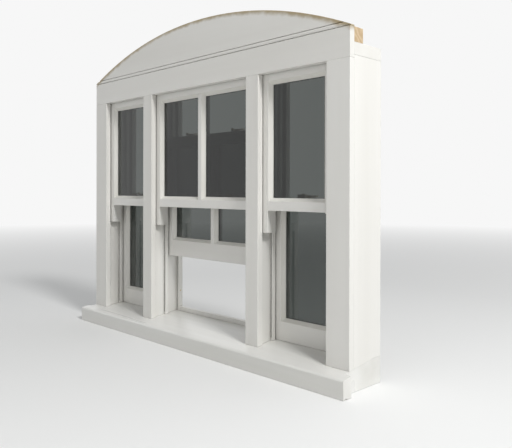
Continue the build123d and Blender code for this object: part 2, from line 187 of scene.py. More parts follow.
corner_shade_and_grime, given, result = group_tree(
    "corner_shade_and_grime",
    [
        ("Reach", "NodeSocketFloat", 0.012),
        ("Amount", "NodeSocketFloat", 0.5),
        ("Breakup", "NodeSocketFloat", 60.0),
    ],
    [("Mask", "NodeSocketFloat")],
)
place = add_node(corner_shade_and_grime, "ShaderNodeTexCoord").outputs["Object"]
specks = add_node(
    corner_shade_and_grime, "ShaderNodeTexNoise", {"Vector": place, "Scale": given["Breakup"], "Detail": 5.0}
).outputs["Fac"]
# Occlusion darkens the colour where shade falls: painted shade, with the noise breaking it up into some grime.
shut_in = add_node(
    corner_shade_and_grime, "ShaderNodeAmbientOcclusion", {"Distance": given["Reach"]}, samples=6
).outputs["AO"]
covered = add_node(
    corner_shade_and_grime,
    "ShaderNodeMapRange",
    {"Value": shut_in, "From Min": OPEN_FROM, "From Max": SHUT_FROM, "To Min": 0.0, "To Max": 1.0},
).outputs["Result"]
speckled = calculate(corner_shade_and_grime, "ADD", specks, LEAST_SPECKS)
broken = calculate(corner_shade_and_grime, "MULTIPLY", covered, speckled)
corner_shade_and_grime.links.new(calculate(corner_shade_and_grime, "MULTIPLY", broken, given["Amount"]), result["Mask"])
say(corner_shade_and_grime)

# %% [markdown]
# ## Stain along the arch
#
# The boards under the arch meet damp brickwork, and the paint has yellowed in a narrow, uneven band along
# that edge. The band is where a point lies near the arch's circle, so the group measures the distance from
# the circle's centre, with a noise that makes the band wander.

# %% Arch stain group
arch_rise = crown - arch_spring
arch_radius = (half_frame**2 + arch_rise**2) / (2 * arch_rise)
arch_centre = crown - arch_radius
arch_stain, given, result = group_tree(
    "arch_stain",
    [
        ("Radius", "NodeSocketFloat", 1.8),
        ("Centre Height", "NodeSocketFloat", -0.6),
        ("Width", "NodeSocketFloat", 0.019),
        ("Wander", "NodeSocketFloat", 0.022),
    ],
    [("Mask", "NodeSocketFloat")],
)
place = add_node(arch_stain, "ShaderNodeTexCoord").outputs["Object"]
parts = add_node(arch_stain, "ShaderNodeSeparateXYZ", {0: place}).outputs
above = calculate(arch_stain, "SUBTRACT", parts["Z"], given["Centre Height"])
across_squared = calculate(arch_stain, "POWER", parts["X"], 2.0)
above_squared = calculate(arch_stain, "POWER", above, 2.0)
squares = calculate(arch_stain, "ADD", across_squared, above_squared)
inside_by = calculate(arch_stain, "SUBTRACT", given["Radius"], calculate(arch_stain, "SQRT", squares))
wander = add_node(
    arch_stain, "ShaderNodeTexNoise", {"Vector": place, "Scale": 26.0, "Detail": 6.0}
).outputs["Fac"]
centred = calculate(arch_stain, "SUBTRACT", wander, 0.5)
strayed = calculate(arch_stain, "MULTIPLY", centred, given["Wander"])
shifted = calculate(arch_stain, "SUBTRACT", inside_by, strayed)
near_edge = add_node(
    arch_stain,
    "ShaderNodeMapRange",
    {"Value": shifted, "From Min": given["Width"], "From Max": 0.0},
    interpolation_type="SMOOTHSTEP",
).outputs["Result"]
arch_stain.links.new(near_edge, result["Mask"])
say(arch_stain)
print("arch radius", round(arch_radius, 4), "centre height", round(arch_centre, 4))

# %% [markdown]
# ## Painted timber
#
# The paint is an oil gloss gone slightly soft: off-white, a little warm, shining but not like plastic. A
# material takes the brush marks for its bump, its tone and its roughness, darkens its corners with painted
# shade and some grime, and takes the stain under the arch where it is wanted. One function makes every painted
# finish, because they differ only in colour, direction, gloss and the amount of painted shade and grime.

# %% The paint
ALONG_X = (0.05, 1.0, 1.0)
ALONG_Z = (1.0, 1.0, 0.05)
ANY_WAY = (0.6, 0.6, 0.6)
# Dark colour for the painted shade in corners and recesses, with some grime in it.
SHADE_AND_GRIME = (0.16, 0.145, 0.115, 1)
STAIN = (0.33, 0.245, 0.11, 1)
SHEEN_BELOW = 0.06
SHEEN_ABOVE = 0.08
MARK_DEPTH = 0.0014


def material(name):
    made = bpy.data.materials.new(name)
    made.use_nodes = True
    return made, made.node_tree, made.node_tree.nodes["Principled BSDF"]


def mix_colour(tree, share, first, second):
    mixed = add_node(tree, "ShaderNodeMix", data_type="RGBA")
    tree.links.new(share, mixed.inputs["Factor"])
    for socket, value in zip((mixed.inputs[6], mixed.inputs[7]), (first, second)):
        if isinstance(value, bpy.types.NodeSocket):
            tree.links.new(value, socket)
        else:
            socket.default_value = value
    return mixed.outputs[2]


def spread(tree, value, least, most, start=0.3, stop=0.7):
    return add_node(
        tree,
        "ShaderNodeMapRange",
        {"Value": value, "From Min": start, "From Max": stop, "To Min": least, "To Max": most},
    ).outputs["Result"]


def give_bump(tree, shader, height, strength, distance):
    bump = add_node(tree, "ShaderNodeBump", {"Height": height, "Strength": strength, "Distance": distance})
    tree.links.new(bump.outputs["Normal"], shader.inputs["Normal"])


def paint(name, colour, shade, stretch, gloss, shade_and_grime_amount=0.5, stain=0.0, ripple=0.35):
    made, tree, shader = material(name)
    marks = add_node(tree, "ShaderNodeGroup", node_tree=brush_marks)
    marks.inputs["Stretch"].default_value = stretch
    # Corners and recesses are darkened in the colour: painted shade, with some grime.
    shade_and_grime = add_node(tree, "ShaderNodeGroup", node_tree=corner_shade_and_grime)
    shade_and_grime.inputs["Amount"].default_value = shade_and_grime_amount
    tone = mix_colour(tree, spread(tree, marks.outputs["Tone"], 0.0, 1.0), colour, shade)
    tone = mix_colour(tree, shade_and_grime.outputs["Mask"], tone, SHADE_AND_GRIME)
    if stain:
        edge = add_node(tree, "ShaderNodeGroup", node_tree=arch_stain)
        edge.inputs["Radius"].default_value = arch_radius
        edge.inputs["Centre Height"].default_value = arch_centre
        share = calculate(tree, "MULTIPLY", edge.outputs["Mask"], stain)
        tone = mix_colour(tree, share, tone, STAIN)
    tree.links.new(tone, shader.inputs["Base Color"])
    sheen = spread(tree, marks.outputs["Tone"], gloss - SHEEN_BELOW, gloss + SHEEN_ABOVE)
    tree.links.new(sheen, shader.inputs["Roughness"])
    give_bump(tree, shader, marks.outputs["Height"], ripple, MARK_DEPTH)
    return made


# %% The painted finishes
WHITE = (0.78, 0.77, 0.735, 1)
WHITE_SHADE = (0.72, 0.705, 0.665, 1)
SILL_WHITE = (0.80, 0.795, 0.77, 1)
SILL_SHADE = (0.68, 0.672, 0.635, 1)
PUTTY_WHITE = (0.77, 0.755, 0.71, 1)
PUTTY_SHADE = (0.70, 0.685, 0.63, 1)
# Every finish darkens its corners with painted shade and some grime; the sill takes less of it.
upright_paint = paint("upright_paint", WHITE, WHITE_SHADE, ALONG_Z, gloss=0.34)
level_paint = paint("level_paint", WHITE, WHITE_SHADE, ALONG_X, gloss=0.34)
board_paint = paint("board_paint", WHITE, WHITE_SHADE, ALONG_X, gloss=0.38, stain=0.85)
bead_paint = paint("bead_paint", WHITE, WHITE_SHADE, ANY_WAY, gloss=0.36)
sill_paint = paint("sill_paint", SILL_WHITE, SILL_SHADE, ALONG_X, gloss=0.30, shade_and_grime_amount=0.35)
putty_paint = paint("putty_paint", PUTTY_WHITE, PUTTY_SHADE, ANY_WAY, gloss=0.42, ripple=0.6)
print("painted finishes:", [made.name for made in bpy.data.materials if made.name.endswith("_paint")])

# %% [markdown]
# ## Bare softwood
#
# The packing behind the arch board is hidden in the wall, so nobody paints it. Softwood shows long bands of
# pale early wood and darker late wood. A wave texture stretched along the board and bent by noise gives the
# bands, and the same value makes the dark ones a little smoother.

# %% The softwood
EARLY_WOOD = (0.58, 0.45, 0.29, 1)
LATE_WOOD = (0.46, 0.33, 0.19, 1)
BOARD_STRETCH = (0.5, 14.0, 14.0)

softwood, tree, shader = material("softwood")
place = add_node(tree, "ShaderNodeTexCoord").outputs["Object"]
board = add_node(tree, "ShaderNodeMapping", {"Vector": place, "Scale": BOARD_STRETCH}).outputs["Vector"]
bands = add_node(
    tree,
    "ShaderNodeTexWave",
    {"Vector": board, "Scale": 1.6, "Distortion": 7.0, "Detail": 3.0, "Detail Scale": 1.2},
    bands_direction="DIAGONAL",
).outputs["Fac"]
tree.links.new(mix_colour(tree, bands, EARLY_WOOD, LATE_WOOD), shader.inputs["Base Color"])
tree.links.new(spread(tree, bands, 0.72, 0.58), shader.inputs["Roughness"])
give_bump(tree, shader, bands, strength=0.3, distance=0.0008)
print("softwood:", len(tree.nodes), "nodes")

# %% [markdown]
# ## Glass
#
# Old drawn glass is never quite flat, and its reflections swim a little. The room behind a window is dark, so
# the panes look dark grey-green from the street. There is no room here, so the glass is a plain transmitting
# shader with a deep tint that paints in the room's shade, and a very slow bump bends what it mirrors.

# %% The glass
# The dark tint paints in the shade of the unlit room behind the glass.
ROOM_SHADE_TINT = (0.085, 0.095, 0.09, 1)

glass_finish, tree, shader = material("window_glass")
shader.inputs["Base Color"].default_value = ROOM_SHADE_TINT
shader.inputs["Roughness"].default_value = 0.015
shader.inputs["IOR"].default_value = 1.5
shader.inputs["Transmission Weight"].default_value = 1.0
place = add_node(tree, "ShaderNodeTexCoord").outputs["Object"]
swim = add_node(tree, "ShaderNodeTexNoise", {"Vector": place, "Scale": 5.0, "Detail": 1.0}).outputs["Fac"]
give_bump(tree, shader, swim, strength=0.25, distance=0.004)
print("glass tint:", [round(value, 3) for value in ROOM_SHADE_TINT[:3]])

# %% [markdown]
# ## Metals and plastic
#
# Brass that is handled stays bright on its edges and dulls in between; zinc plating has a crystalline bloom;
# the balance tubes are plain white plastic with a faint mould texture. Each is a noise at the right scale,
# feeding colour, roughness and bump, and each is darkened in its corners by painted shade with some grime.


# %% Brass, zinc and plastic
WEAR_SMOOTHER = 0.08
WEAR_ROUGHER = 0.14
WEAR_DEPTH = 0.0003
# How far the painted corner shade and grime reaches on the small metal parts.
METAL_SHADE_AND_GRIME_REACH = 0.004


def worn(name, colour, shade, metallic, gloss, scale, bump):
    made, tree, shader = material(name)
    shader.inputs["Metallic"].default_value = metallic
    place = add_node(tree, "ShaderNodeTexCoord").outputs["Object"]
    wear = add_node(
        tree, "ShaderNodeTexNoise", {"Vector": place, "Scale": scale, "Detail": 6.0}
    ).outputs["Fac"]
    # The metal's corners are darkened in the colour too: painted shade, with some grime.
    shade_and_grime = add_node(tree, "ShaderNodeGroup", node_tree=corner_shade_and_grime)
    shade_and_grime.inputs["Reach"].default_value = METAL_SHADE_AND_GRIME_REACH
    tone = mix_colour(tree, spread(tree, wear, 0.0, 1.0), colour, shade)
    tree.links.new(mix_colour(tree, shade_and_grime.outputs["Mask"], tone, SHADE_AND_GRIME), shader.inputs["Base Color"])
    tree.links.new(spread(tree, wear, gloss - WEAR_SMOOTHER, gloss + WEAR_ROUGHER), shader.inputs["Roughness"])
    give_bump(tree, shader, wear, bump, WEAR_DEPTH)
    return made


BRASS = ((0.76, 0.64, 0.40, 1), (0.58, 0.46, 0.27, 1))
ZINC = ((0.62, 0.62, 0.60, 1), (0.44, 0.45, 0.46, 1))
PLASTIC = ((0.80, 0.80, 0.77, 1), (0.72, 0.72, 0.69, 1))
brass_finish = worn("satin_brass", *BRASS, metallic=1.0, gloss=0.30, scale=220.0, bump=0.15)
zinc_finish = worn("zinc_plate", *ZINC, metallic=1.0, gloss=0.36, scale=340.0, bump=0.2)
plastic_finish = worn("tube_plastic", *PLASTIC, metallic=0.0, gloss=0.45, scale=90.0, bump=0.1)
print("finishes so far:", len(bpy.data.materials))

# %% [markdown]
# ## Which timber takes which paint
#
# Posts and stiles are brushed upwards, rails and boards along their length. The table is the one place where
# a node meets its finish.

# %% Finishes by node
UPRIGHT = ["jamb_left", "jamb_right", "mullion_left", "mullion_right"]
UPRIGHT += ["outer_lining_left", "outer_lining_right", "mullion_facings"]
UPRIGHT += ["upper_centre_bar", "lower_centre_bar"]
LEVEL = ["head", "upper_centre_top_rail", "upper_centre_meeting_rail"]
LEVEL += ["lower_centre_top_rail", "lower_centre_bottom_rail"]
for light in LIGHTS:
    for half in ("upper", "lower"):
        UPRIGHT.append(f"{half}_{light}_stiles")
        if light != "centre":
            LEVEL.append(f"{half}_{light}_rails")
FINISH = {name: upright_paint for name in UPRIGHT}
FINISH.update({name: level_paint for name in LEVEL})
FINISH.update({name: board_paint for name in ("head_board", "head_bead", "arch_board")})
FINISH.update({"sill": sill_paint, "arch_core": softwood})
FINISH.update({name: bead_paint for name in ("parting_beads", "staff_beads")})
print("timber nodes:", len(FINISH), "upright:", len(UPRIGHT))

# %% [markdown]
# ## Easing the timber's edges
#
# A joiner takes every sharp edge off before painting, because paint won't stay on it. The eased edge is what
# catches the light. The CAD solids have sharp edges, so each timber node gets a double: its loose triangles
# are merged, and lengths of timber that touch in a single point are parted again there, which keeps each one
# closed. Flat neighbours are dissolved back to whole faces, and a small bevel rounds the corners. The weighted
# normals keep the broad faces looking flat. The double replaces its node and rides the same body.

# %% Eased doubles
MERGE = 1e-6
FLAT = math.radians(0.6)
CORNER = math.radians(32)
EASE = 0.0011


def body_of_node(node):
    return frame["nodes"][node]["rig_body"]


def finished(piece, mesh_name):
    """The piece with its modifiers made part of its mesh."""
    bpy.context.view_layer.update()
    shape = piece.evaluated_get(bpy.context.evaluated_depsgraph_get())
    mesh = bpy.data.meshes.new_from_object(shape)
    mesh.name = mesh_name
    piece.modifiers.clear()
    piece.data = mesh
    return piece


def eased(node, radius):
    source = frame["nodes"][node].data
    mesh = bpy.data.meshes.new(f"{node}_painted")
    points = [corner.co.copy() for corner in source.vertices]
    mesh.from_pydata(points, [], [tuple(face.vertices) for face in source.polygons])
    shape = bmesh.new()
    shape.from_mesh(mesh)
    bmesh.ops.remove_doubles(shape, verts=shape.verts, dist=MERGE)
    for corner in list(shape.verts):
        bmesh.utils.vert_separate(corner, ())
    bmesh.ops.dissolve_limit(shape, angle_limit=FLAT, verts=shape.verts, edges=shape.edges)
    shape.to_mesh(mesh)
    shape.free()
    for face in mesh.polygons:
        face.use_smooth = True
    mesh.set_sharp_from_angle(angle=CORNER)
    piece = bpy.data.objects.new(f"{node}_painted", mesh)
    collection.objects.link(piece)
    rounding = piece.modifiers.new("eased_edges", "BEVEL")
    rounding.width = radius
    rounding.segments = 2
    rounding.limit_method = "ANGLE"
    rounding.angle_limit = CORNER
    rounding.use_clamp_overlap = True
    weighted = piece.modifiers.new("flat_faces", "WEIGHTED_NORMAL")
    weighted.keep_sharp = True
    finished(piece, f"{node}_painted")
    piece.data.materials.clear()
    piece.data.materials.append(FINISH[node])
    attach(piece, body_of_node(node))
    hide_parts(node)
    return piece


timber = {node: eased(node, EASE) for node in FINISH}
print("timber pieces:", len(timber), "faces:", sum(len(piece.data.polygons) for piece in timber.values()))

# %% [markdown]
# ## Finishes for the pieces that stay as they are
#
# Glass, putty and metal already have their true form in the model, so they keep it and take a material only.

# %% Materials on the model's own meshes
def give(node, finish):
    mesh = frame["nodes"][node].data
    mesh.materials.clear()
    mesh.materials.append(finish)


for light in LIGHTS:
    for half in ("upper", "lower"):
        give(f"{half}_{light}_glass", glass_finish)
        give(f"{half}_{light}_putty", putty_paint)
        give(f"{half}_{light}_balance_rods", zinc_finish)
    give(f"upper_{light}_keeps", brass_finish)
    give(f"lower_{light}_fittings", brass_finish)
for lever in ("lever_left", "lever_right", "lever_centre_1", "lever_centre_2"):
    give(lever, brass_finish)
give("balance_tubes", plastic_finish)
print("finishes in use:", len(bpy.data.materials))

# %% [markdown]
# ## Spiral rods
#
# A spiral balance works by a flat strip twisted like a drill: as the sash moves, the strip turns the nut in
# the foot of its tube. The CAD model has a plain round rod there. A node group sweeps a thin section along a
# line and turns it steadily, by the length divided by the pitch, so one rule makes rods of any length.


# %% Geometry node helpers
def geometry_group(name, inputs):
    return group_tree(
        name,
        [("Geometry", "NodeSocketGeometry", None)] + inputs,
        [("Geometry", "NodeSocketGeometry")],
        "GeometryNodeTree",
    )


def close_group(tree, result, shape, finish):
    """Every group ends the same way: copies made real, then the finish."""
    real = add_node(tree, "GeometryNodeRealizeInstances", {"Geometry": shape}).outputs[0]
    painted = add_node(tree, "GeometryNodeSetMaterial", {"Geometry": real, "Material": finish}).outputs[0]
    tree.links.new(painted, result["Geometry"])
    say(tree)


def turned_to(tree, facing, least, most, seed):
    """A rotation that turns Z to the facing, with a random turn between two limits added to it."""
    aligned = add_node(
        tree, "FunctionNodeAlignEulerToVector", {"Vector": facing}, axis="Z", pivot_axis="AUTO"
    ).outputs[0]
    stray = add_node(
        tree, "FunctionNodeRandomValue", {"Min": least, "Max": most, "Seed": seed}, data_type="FLOAT_VECTOR"
    ).outputs[0]
    return add_node(
        tree,
        "FunctionNodeRotateEuler",
        {"Rotation": aligned, "Rotate By": stray},
        rotation_type="EULER",
        space="LOCAL",
    ).outputs[0]


def grown(name, tree, points, body, slot, lines=(), **values):
    """A piece whose mesh is made by a node group from points or lines, then kept as a plain mesh."""
    mesh = bpy.data.meshes.new(name)
    mesh.from_pydata(points, lines, [])
    piece = bpy.data.objects.new(name, mesh)
    collection.objects.link(piece)
    modifier = piece.modifiers.new(tree.name, "NODES")
    modifier.node_group = tree
    sockets = {item.name: item.identifier for item in tree.interface.items_tree if item.in_out == "INPUT"}
    for key, value in values.items():
        modifier[sockets[key.replace("_", " ")]] = value
    finished(piece, name)
    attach(piece, body)
    return piece


# %% Spiral rod group
spiral, given, result = geometry_group(
    "spiral_rod",
    [
        ("Length", "NodeSocketFloat", 0.6),
        ("Pitch", "NodeSocketFloat", 0.024),
        ("Width", "NodeSocketFloat", 0.0046),
        ("Thickness", "NodeSocketFloat", 0.0016),
        ("Steps per Turn", "NodeSocketInt", 12),
        ("Finish", "NodeSocketMaterial", None),
    ],
)
top = add_node(spiral, "ShaderNodeCombineXYZ", {"Z": given["Length"]}).outputs[0]
line = add_node(spiral, "GeometryNodeCurvePrimitiveLine", {"Start": (0, 0, 0), "End": top}).outputs[0]
turns = calculate(spiral, "DIVIDE", given["Length"], given["Pitch"])
steps = calculate(spiral, "MULTIPLY", turns, given["Steps per Turn"])
line = add_node(spiral, "GeometryNodeResampleCurve", {"Curve": line, "Count": steps}).outputs[0]
along = add_node(spiral, "GeometryNodeSplineParameter").outputs["Factor"]
twist = calculate(spiral, "MULTIPLY", calculate(spiral, "MULTIPLY", along, turns), 2 * math.pi)
line = add_node(spiral, "GeometryNodeSetCurveTilt", {"Curve": line, "Tilt": twist}).outputs[0]
section = add_node(
    spiral, "GeometryNodeCurvePrimitiveQuadrilateral", {"Width": given["Width"], "Height": given["Thickness"]}
).outputs[0]
strip = add_node(
    spiral, "GeometryNodeCurveToMesh", {"Curve": line, "Profile Curve": section, "Fill Caps": True}
).outputs[0]
rods = add_node(
    spiral, "GeometryNodeInstanceOnPoints", {"Points": given["Geometry"], "Instance": strip}
).outputs[0]
close_group(spiral, result, rods, given["Finish"])

# %% [markdown]
# ## Rods and their feet
#
# Each sash has two rods. A rod stands on a small pressed foot that is screwed under the stile, so the feet
# are plain plates with an upstand that holds the rod's end. Both replace the model's plain rods and ride the
# sash.


# %% Plain boxes in one mesh
def boxes(name, spans, finish, radius=0.0004):
    """One piece made of plain boxes, each given by its low and high corner, with a small bevel."""
    shape = bmesh.new()
    for corner_low, corner_high in spans:
        size = Vector(corner_high) - Vector(corner_low)
        middle = (Vector(corner_high) + Vector(corner_low)) / 2
        made = bmesh.ops.create_cube(shape, size=1.0)["verts"]
        bmesh.ops.scale(shape, vec=size, verts=made)
        bmesh.ops.translate(shape, vec=middle, verts=made)
    bmesh.ops.bevel(shape, geom=shape.edges[:], offset=radius, segments=1, affect="EDGES")
    mesh = bpy.data.meshes.new(name)
    shape.to_mesh(mesh)
    shape.free()
    mesh.materials.append(finish)
    piece = bpy.data.objects.new(name, mesh)
    collection.objects.link(piece)
    return piece


# %% Rods and feet on the six sashes
SIDE_GAP = 0.0015
ROD_INSET = 0.0085
FOOT_PLATE = 0.0018
FOOT_WIDE = 0.0085
FOOT_TALL = 0.004
FOOT_POST = 0.003

for light in LIGHTS:
    for half in ("upper", "lower"):
        node = f"{half}_{light}_balance_rods"
        start, end = low(node), high(node)
        y_middle = (start.y + end.y) / 2
        rod_places = [
            (start.x + ROD_INSET, y_middle, start.z + FOOT_PLATE),
            (end.x - ROD_INSET, y_middle, start.z + FOOT_PLATE),
        ]
        rod = grown(
            f"{half}_{light}_spiral_rods",
            spiral,
            rod_places,
            f"{half}_{light}_sash",
            "zinc_steel",
            Length=end.z - start.z - FOOT_PLATE,
            Finish=zinc_finish,
        )
        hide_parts(node)
        spans = []
        for x, y, z in rod_places:
            spans.append(((x - FOOT_WIDE, y - FOOT_WIDE, start.z), (x + FOOT_WIDE, y + FOOT_WIDE, z)))
            post_top = start.z + FOOT_TALL
            spans.append(((x - FOOT_POST, y - FOOT_POST, z), (x + FOOT_POST, y + FOOT_POST, post_top)))
        foot = boxes(f"{half}_{light}_rod_feet", spans, zinc_finish)
        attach(foot, f"{half}_{light}_sash")
print("faces on one sash's rods:", len(rod.data.polygons))

# %% [markdown]
# ## Screws
#
# One slotted screw head is modelled once. A node group sets copies of it on given points, turned to face a
# given way, each with its slot at its own angle, because nobody lines slots up behind a curtain.

# %% The screw head
HEAD_RADIUS = 0.0031
HEAD_RISE = 0.0007
SLOT_HALF = 0.0004
HEAD_SIDES = 16
SEAT_SHARE = 0.4
SEAT_TAPER = 0.97
RIM_SHARE = 0.95
CROWN_SHARE = 0.86

shape = bmesh.new()
seat_tall = HEAD_RISE * SEAT_SHARE
seat = bmesh.ops.create_cone(
    shape,
    cap_ends=True,
    segments=HEAD_SIDES,
    radius1=HEAD_RADIUS,
    radius2=HEAD_RADIUS * SEAT_TAPER,
    depth=seat_tall,
)
bmesh.ops.translate(shape, vec=(0, 0, seat_tall / 2), verts=seat["verts"])
for side in (-1, 1):
    start = math.asin(SLOT_HALF / HEAD_RADIUS)
    rim = []
    for step in range(HEAD_SIDES // 2 + 1):
        angle = start + (math.pi - 2 * start) * step / (HEAD_SIDES // 2)
        reach = side * HEAD_RADIUS * RIM_SHARE
        rim.append((reach * math.cos(angle), reach * math.sin(angle)))
    lower_ring = [shape.verts.new((x, y, seat_tall)) for x, y in rim]
    keep_slot = side * SLOT_HALF * (1 - CROWN_SHARE)
    upper_ring = [shape.verts.new((x * CROWN_SHARE, y * CROWN_SHARE + keep_slot, HEAD_RISE)) for x, y in rim]
    shape.faces.new(upper_ring)
    shape.faces.new(lower_ring[::-1])
    for here in range(len(rim)):
        after = (here + 1) % len(rim)
        shape.faces.new((lower_ring[here], lower_ring[after], upper_ring[after], upper_ring[here]))
head_mesh = bpy.data.meshes.new("screw_head")
shape.to_mesh(head_mesh)
shape.free()
screw_head = bpy.data.objects.new("screw_head", head_mesh)
print("screw head faces:", len(head_mesh.polygons))

# %% Screw group
screws, given, result = geometry_group(
    "screws",
    [
        ("Head", "NodeSocketObject", None),
        ("Facing", "NodeSocketVector", (0, 0, 1)),
        ("Seed", "NodeSocketInt", 4),
        ("Finish", "NodeSocketMaterial", None),
    ],
)
shape = add_node(screws, "GeometryNodeObjectInfo", {"Object": given["Head"]}).outputs["Geometry"]
turned = turned_to(screws, given["Facing"], (0, 0, 0), (0, 0, math.pi), given["Seed"])
heads = add_node(
    screws,
    "GeometryNodeInstanceOnPoints",
    {"Points": given["Geometry"], "Instance": shape, "Rotation": turned},
).outputs[0]
close_group(screws, result, heads, given["Finish"])

# %% [markdown]
# ## Where the screws go
#
# Plates are screwed near their ends. The places come from the model's own boxes: two screws in each
# fastener base, beside the lever's hub, two in each keep and two near the top of each lift.

# %% Screws on the fittings
LEVER_REACH = 0.037
LEVER_LIFT = 0.0052
PLATE = 0.0025
BASE_SCREW = 0.0185
KEEP_SCREW = 0.0115
KEEP_EDGE = 0.0045
LIFT_SCREW = 0.0125
LIFT_DROP = 0.0065
LIFT_TALL = 0.030
LIFT_REACH = 0.020
LIFT_SPREAD = 0.150
LEVERS = {"left": ["lever_left"], "centre": ["lever_centre_1", "lever_centre_2"], "right": ["lever_right"]}
UP = (0.0, 0.0, 1.0)
INWARD = (0.0, 1.0, 0.0)


def screwed(name, points, facing, body, finish, slot, seed):
    return grown(name, screws, points, body, slot, Head=screw_head, Facing=facing, Seed=seed, Finish=finish)


for number, light in enumerate(LIGHTS):
    fittings, keeps = f"lower_{light}_fittings", f"upper_{light}_keeps"
    on_bases, on_keeps, on_lifts = [], [], []
    for name in LEVERS[light]:
        pivot_x = high(name).x - LEVER_REACH
        pivot_y = (low(name).y + high(name).y) / 2
        base_top = low(name).z - LEVER_LIFT + PLATE
        on_bases += [(pivot_x + away * BASE_SCREW, pivot_y, base_top) for away in (-1, 1)]
        keep_y = high(keeps).y - KEEP_EDGE
        on_keeps += [(pivot_x + away * KEEP_SCREW, keep_y, low(keeps).z + PLATE) for away in (-1, 1)]
    middle = (low(fittings).x + high(fittings).x) / 2
    for lift_x in (middle - LIFT_SPREAD, middle + LIFT_SPREAD) if light == "centre" else (middle,):
        plate_y = high(fittings).y - LIFT_REACH + PLATE
        screw_z = low(fittings).z + LIFT_TALL - LIFT_DROP
        on_lifts += [(lift_x + away * LIFT_SCREW, plate_y, screw_z) for away in (-1, 1)]
    lower, upper = f"lower_{light}_sash", f"upper_{light}_sash"
    screwed(f"{light}_base_screws", on_bases, UP, lower, brass_finish, "brass", number)
    screwed(f"{light}_lift_screws", on_lifts, INWARD, lower, brass_finish, "brass", number + 3)
    screwed(f"{light}_keep_screws", on_keeps, UP, upper, brass_finish, "brass", number + 6)

# %% [markdown]
# ## Screws in the staff beads
#
# The staff beads come off when a sash needs work, so they are held by screws and not by nails. They stand in
# a row up each bead, at even steps, and sit in the bead's rounded side.

# %% Staff bead screws
STAFF_PROUD = 0.016
STAFF_DEEP = 0.025
STAFF_STEP = 0.18
STAFF_MARGIN = 0.07
STAFF_INSET = 0.010
SEAT_TALL = 0.018

staff_low, staff_high = low("staff_beads"), high("staff_beads")
screw_y = staff_high.y - STAFF_DEEP + STAFF_INSET
rise = staff_high.z - staff_low.z - SEAT_TALL - 2 * STAFF_MARGIN
rows = round(rise / STAFF_STEP)
heights = [staff_low.z + SEAT_TALL + STAFF_MARGIN + rise * row / rows for row in range(rows + 1)]
for side, facing in ((-1, (1.0, 0.0, 0.0)), (1, (-1.0, 0.0, 0.0))):
    places = []
    for light in LIGHTS:
        rods = f"lower_{light}_balance_rods"
        edge = high(rods).x + SIDE_GAP if side > 0 else low(rods).x - SIDE_GAP
        places += [(edge - side * STAFF_PROUD, screw_y, z) for z in heights]
    row_name = "staff_screws_right" if side > 0 else "staff_screws_left"
    screwed(row_name, places, facing, "frame", brass_finish, "brass", side + 12)
print("staff bead screws:", 2 * len(places))

# %% [markdown]
# ## Brush piles
#
# A slim brush closes the track on both faces of each sash and keeps the draught out. It is what makes the
# dark line beside a sash. A node group walks along given lines and sets a small tapered tuft at each step,
# with a little spread in its lean, so a long brush costs only a few faces per tuft.

# %% Brush pile group
TUFT_TIP = 0.0004

piles, given, result = geometry_group(
    "brush_piles",
    [
        ("Facing", "NodeSocketVector", (0, -1, 0)),
        ("Step", "NodeSocketFloat", 0.0028),
        ("Height", "NodeSocketFloat", 0.0034),
        ("Radius", "NodeSocketFloat", 0.0016),
        ("Lean", "NodeSocketFloat", 0.12),
        ("Seed", "NodeSocketInt", 3),
        ("Finish", "NodeSocketMaterial", None),
    ],
)
lines = add_node(piles, "GeometryNodeMeshToCurve", {"Mesh": given["Geometry"]}).outputs[0]
walked = add_node(
    piles, "GeometryNodeResampleCurve", {"Curve": lines, "Length": given["Step"]}, mode="LENGTH"
).outputs[0]
tuft = add_node(
    piles,
    "GeometryNodeMeshCone",
    {"Vertices": 4, "Radius Top": TUFT_TIP, "Radius Bottom": given["Radius"], "Depth": given["Height"]},
    fill_type="NGON",
).outputs["Mesh"]
minus = calculate(piles, "MULTIPLY", given["Lean"], -1.0)
least = add_node(piles, "ShaderNodeCombineXYZ", {"X": minus, "Y": minus, "Z": minus}).outputs[0]
most = add_node(
    piles, "ShaderNodeCombineXYZ", {"X": given["Lean"], "Y": given["Lean"], "Z": given["Lean"]}
).outputs[0]
turned = turned_to(piles, given["Facing"], least, most, given["Seed"])
tufts = add_node(
    piles, "GeometryNodeInstanceOnPoints", {"Points": walked, "Instance": tuft, "Rotation": turned}
).outputs[0]
close_group(piles, result, tufts, given["Finish"])

# %% [markdown]
# ## Brushes in the tracks
#
# There is one brush behind each outer lining, one on each face of the parting beads and one on the face of
# the staff beads, so each sash runs between two of them on each side. The lines to walk are only two points
# each, from just above the sill to just under the head.

# %% The brushes' finish
PILE_DARK = (0.22, 0.22, 0.21, 1)
PILE_PALE = (0.38, 0.375, 0.36, 1)

pile_finish, tree, shader = material("brush_pile")
place = add_node(tree, "ShaderNodeTexCoord").outputs["Object"]
fluff = add_node(
    tree, "ShaderNodeTexNoise", {"Vector": place, "Scale": 700.0, "Detail": 3.0}
).outputs["Fac"]
grey = mix_colour(tree, spread(tree, fluff, 0.0, 1.0), PILE_DARK, PILE_PALE)
tree.links.new(grey, shader.inputs["Base Color"])
tree.links.new(spread(tree, fluff, 0.80, 0.95), shader.inputs["Roughness"])
give_bump(tree, shader, fluff, strength=0.5, distance=0.0004)
print("brush finish:", len(tree.nodes), "nodes")

# %% Brushes beside the sashes
PILE_CLEAR = 0.004
LINING_PILE = 0.005
PARTING_PILE = 0.0055
STAFF_PILE = 0.009
OUTWARD = (0.0, -1.0, 0.0)

